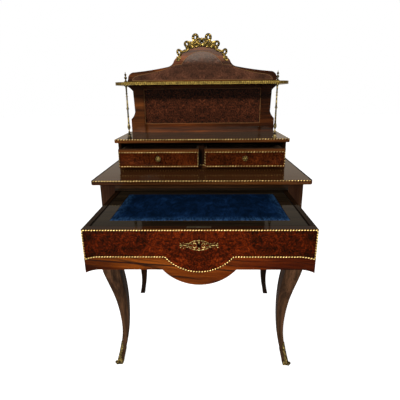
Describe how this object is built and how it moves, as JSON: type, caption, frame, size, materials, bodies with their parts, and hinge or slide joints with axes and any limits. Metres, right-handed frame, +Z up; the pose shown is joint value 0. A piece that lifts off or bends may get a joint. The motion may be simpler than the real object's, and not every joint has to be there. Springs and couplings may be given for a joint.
{
  "type": "lady's writing desk",
  "caption": "Bonheur du jour: lady's writing desk with a pull-out writing drawer, small drawers, a shelf on columns and a shaped back panel with a ribbon crest.",
  "frame": {"origin": "on the floor under the middle of the whole desk, with the drawers open as stored", "axes": "+Z up, +X to the right seen from the front, +Y from the front towards the back"},
  "size_m": [0.712, 0.82, 1.2222],
  "materials": {
    "rosewood": "French polish, very glossy",
    "burr_walnut": "French polish, very glossy",
    "oak": "bare, waxed",
    "gilt_brass": "aged gilt",
    "velvet": "velvet, worn at the front edge",
    "steel": "dull"
  },
  "bodies": {
    "carcass": {"desk_top": "rosewood", "desk_top_trim": "gilt_brass", "leg_front_right": "rosewood", "leg_front_left": "rosewood", "leg_back_right": "rosewood", "leg_back_left": "rosewood", "sabot_right": "gilt_brass", "sabot_left": "gilt_brass", "apron_right": "rosewood", "apron_left": "rosewood", "apron_back": "rosewood", "top_rail": "rosewood", "support_rail": "oak", "drawer_runner_right": "oak", "drawer_runner_left": "oak", "drawer_kickers": "oak", "drawer_stops": "oak", "gradin_bottom": "rosewood", "gradin_side_right": "rosewood", "gradin_side_left": "rosewood", "gradin_divider": "rosewood", "gradin_back": "oak", "gradin_front_rail": "rosewood", "gradin_plinth_trim": "gilt_brass", "gradin_top": "rosewood", "gradin_top_trim": "gilt_brass", "back_panel": "rosewood", "back_panel_burr": "burr_walnut", "pediment_burr": "burr_walnut", "gallery_shelf": "rosewood", "shelf_band": "gilt_brass", "spindle_right": "gilt_brass", "spindle_left": "gilt_brass", "finials": "gilt_brass", "crest_ribbon": "gilt_brass", "crest_flowers": "gilt_brass"},
    "main_drawer": {"drawer_front": "rosewood", "drawer_front_veneer": "burr_walnut", "drawer_front_trim": "gilt_brass", "drawer_escutcheon": "gilt_brass", "drawer_side_left": "oak", "drawer_side_right": "oak", "drawer_back": "oak", "drawer_bottom": "oak", "board_bearers": "oak", "drawer_lock": "gilt_brass"},
    "writing_board": {"writing_board": "rosewood", "writing_velvet": "velvet"},
    "lock_bolt": {"lock_bolt": "steel"},
    "small_drawer_left": {"small_front_left": "rosewood", "small_veneer_left": "burr_walnut", "small_trim_left": "gilt_brass", "small_knob_left": "gilt_brass", "small_box_left": "oak"},
    "small_drawer_right": {"small_front_right": "rosewood", "small_veneer_right": "burr_walnut", "small_trim_right": "gilt_brass", "small_knob_right": "gilt_brass", "small_box_right": "oak"}
  },
  "joints": [
    {"name": "main_drawer_slide", "type": "slide", "parent": "carcass", "child": "main_drawer", "axis": [0, 1, 0], "range_m": [0, 0.327]},
    {"name": "writing_board_slide", "type": "slide", "parent": "main_drawer", "child": "writing_board", "axis": [0, 1, 0], "range_m": [0, 0.073]},
    {"name": "lock_bolt_slide", "type": "slide", "parent": "main_drawer", "child": "lock_bolt", "axis": [0, 0, 1], "range_m": [0, 0.007]},
    {"name": "small_drawer_left_slide", "type": "slide", "parent": "carcass", "child": "small_drawer_left", "axis": [0, 1, 0], "range_m": [-0.12, 0.056]},
    {"name": "small_drawer_right_slide", "type": "slide", "parent": "carcass", "child": "small_drawer_right", "axis": [0, 1, 0], "range_m": [-0.12, 0.056]}
  ]
}
